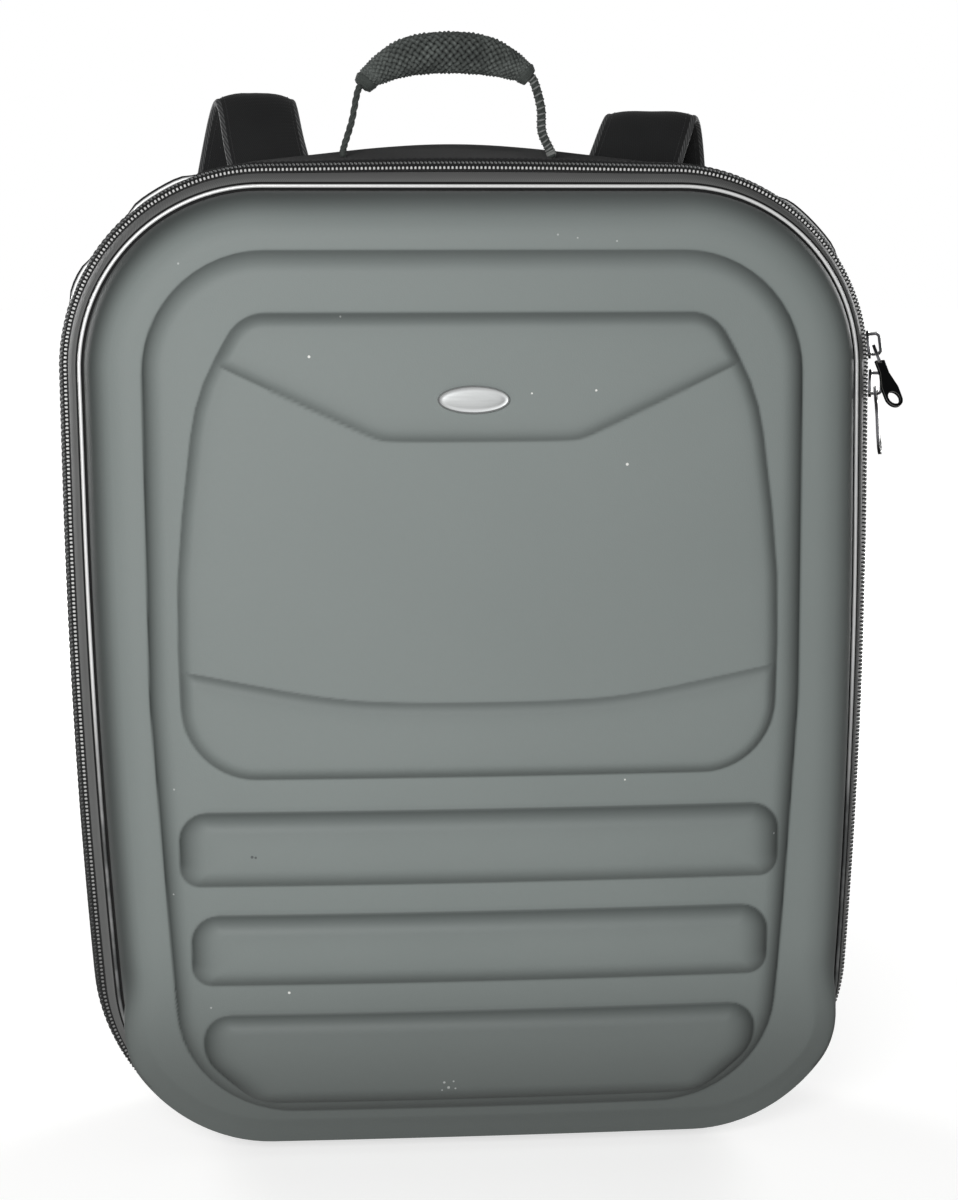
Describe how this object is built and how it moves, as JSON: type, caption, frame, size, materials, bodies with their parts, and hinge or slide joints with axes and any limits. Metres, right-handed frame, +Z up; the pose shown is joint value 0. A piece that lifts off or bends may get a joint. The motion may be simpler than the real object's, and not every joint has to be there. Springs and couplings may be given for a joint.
{
  "type": "camera backpack",
  "caption": "Hard-front backpack with a moulded foam lid in raised panels, a perimeter zip, a deep fabric body, a braided top handle and padded shoulder straps.",
  "frame": {"origin": "middle of the bounding box's footprint, on the floor under the bag", "axes": "+Z up, -Y out of the front lid, +X to the side with the zip sliders"},
  "size_m": [0.4142, 0.2556, 0.5578],
  "materials": {
    "shell": "moulded foam laminated with a thin matte grey fabric skin, fine grain",
    "badge": "satin silver",
    "piping": "silver film",
    "band_fabric": "coated black fabric with a pebbled texture",
    "tape": "woven zip tape",
    "zip_teeth": "silver coated coil",
    "slider_metal": "black nickel, worn bright at the edges",
    "body_fabric": "black woven polyester",
    "braid": "braided cord, dark green-grey",
    "strap_fabric": "black padded mesh and webbing",
    "buckle_plastic": "moulded black"
  },
  "bodies": {
    "bag": {"front_shell": "shell", "badge": "badge", "front_piping": "piping", "front_band": "band_fabric", "zip_tape_front": "tape", "zip_tape_rear": "tape", "zip_chain": "zip_teeth", "slider_upper": "slider_metal", "slider_lower": "slider_metal", "main_gusset": "body_fabric", "rear_piping": "piping", "back_panel": "body_fabric", "handle_grip": "braid", "handle_leg_left": "braid", "handle_leg_right": "braid", "shoulder_strap_left": "strap_fabric", "shoulder_strap_right": "strap_fabric", "strap_buckle_left": "buckle_plastic", "strap_buckle_right": "buckle_plastic", "strap_webbing_left": "strap_fabric", "strap_webbing_right": "strap_fabric"},
    "pull_upper": {"pull_upper": "slider_metal"},
    "pull_lower": {"pull_lower": "slider_metal"}
  },
  "joints": [
    {"name": "pull_upper_swing", "type": "hinge", "parent": "bag", "child": "pull_upper", "pos_m": [0.19552, -0.06656, 0.40144], "axis": [-0.3473, -0.8498, 0.3964], "range_deg": [0, 100]},
    {"name": "pull_lower_swing", "type": "hinge", "parent": "bag", "child": "pull_lower", "pos_m": [0.1964, -0.06656, 0.382], "axis": [-0.3256, -0.9455, 0], "range_deg": [0, 90]}
  ]
}
